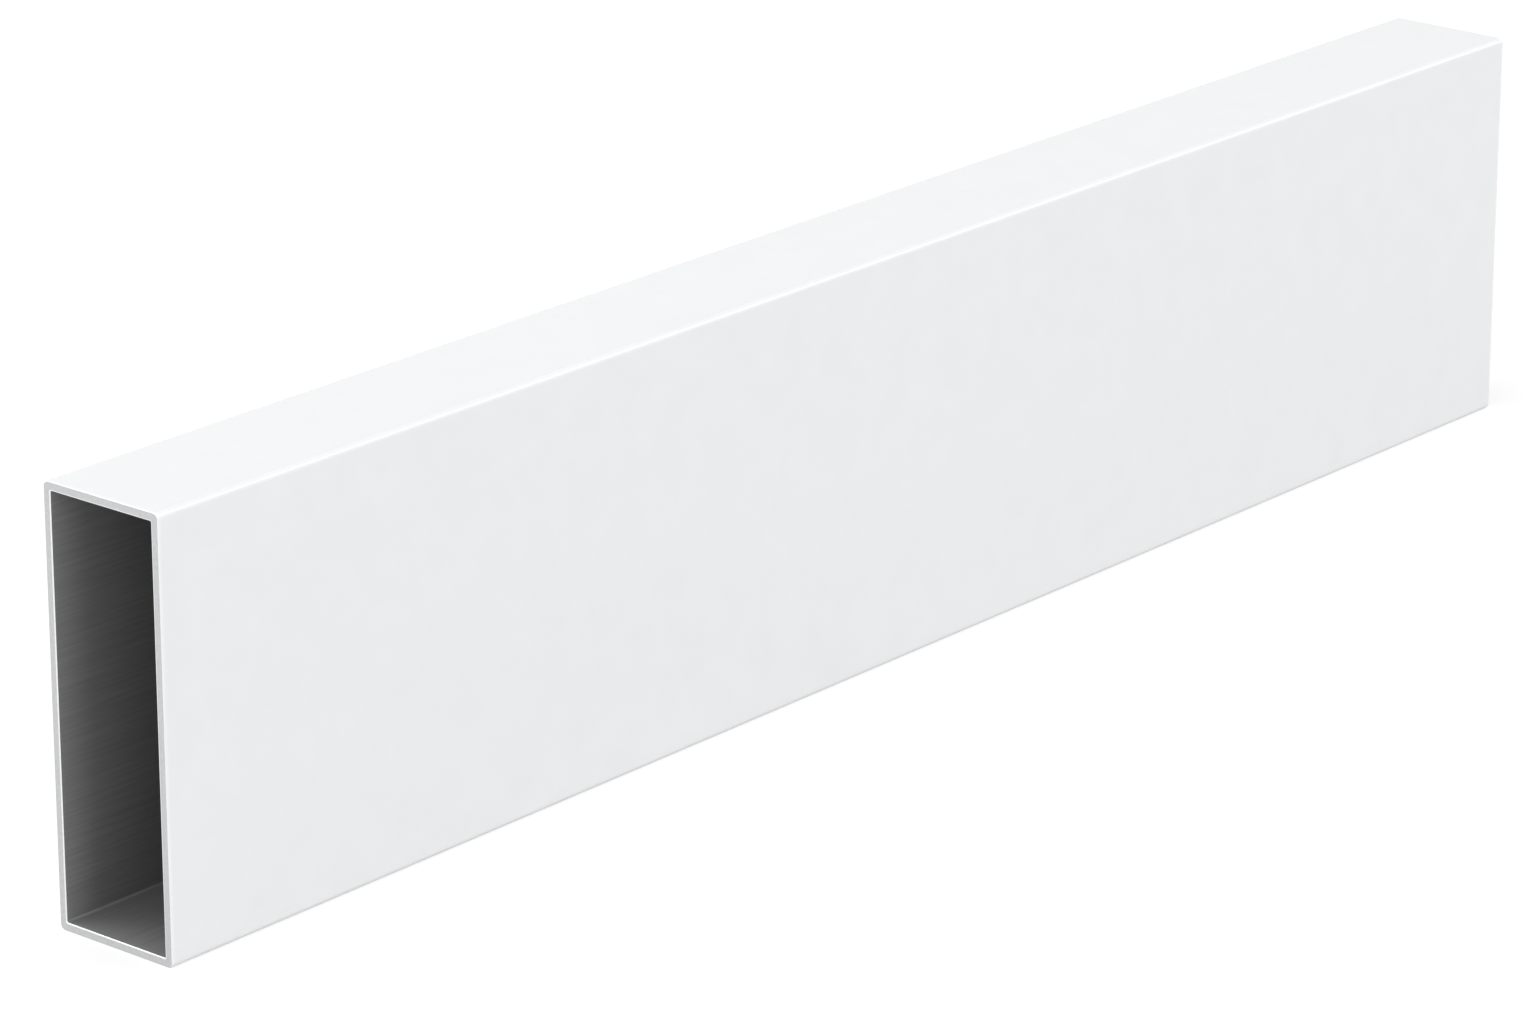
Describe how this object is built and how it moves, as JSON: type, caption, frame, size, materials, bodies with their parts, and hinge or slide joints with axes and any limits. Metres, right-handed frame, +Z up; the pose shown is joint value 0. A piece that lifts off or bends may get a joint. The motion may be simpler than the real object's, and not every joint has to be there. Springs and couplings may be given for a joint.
{
  "type": "pergola purlin",
  "caption": "Straight hollow rectangular purlin with thin walls, small corner radii and open square-sawn ends, powder-coated white; lies across pergola beams to carry the roof.",
  "frame": {"origin": "on the floor, under the middle of the purlin's bottom edge", "axes": "+X along the purlin, away from the end that faces the camera; +Y across its width, away from the side that faces the camera; +Z up, along the section's height"},
  "size_m": [0.725, 0.05, 0.15],
  "materials": {
    "powder_coat_white": "satin white polyester powder coat on extruded aluminium, with bare sawn ends and a bare mill-finish bore"
  },
  "bodies": {
    "root": {"purlin_tube": "powder_coat_white"}
  },
  "joints": []
}
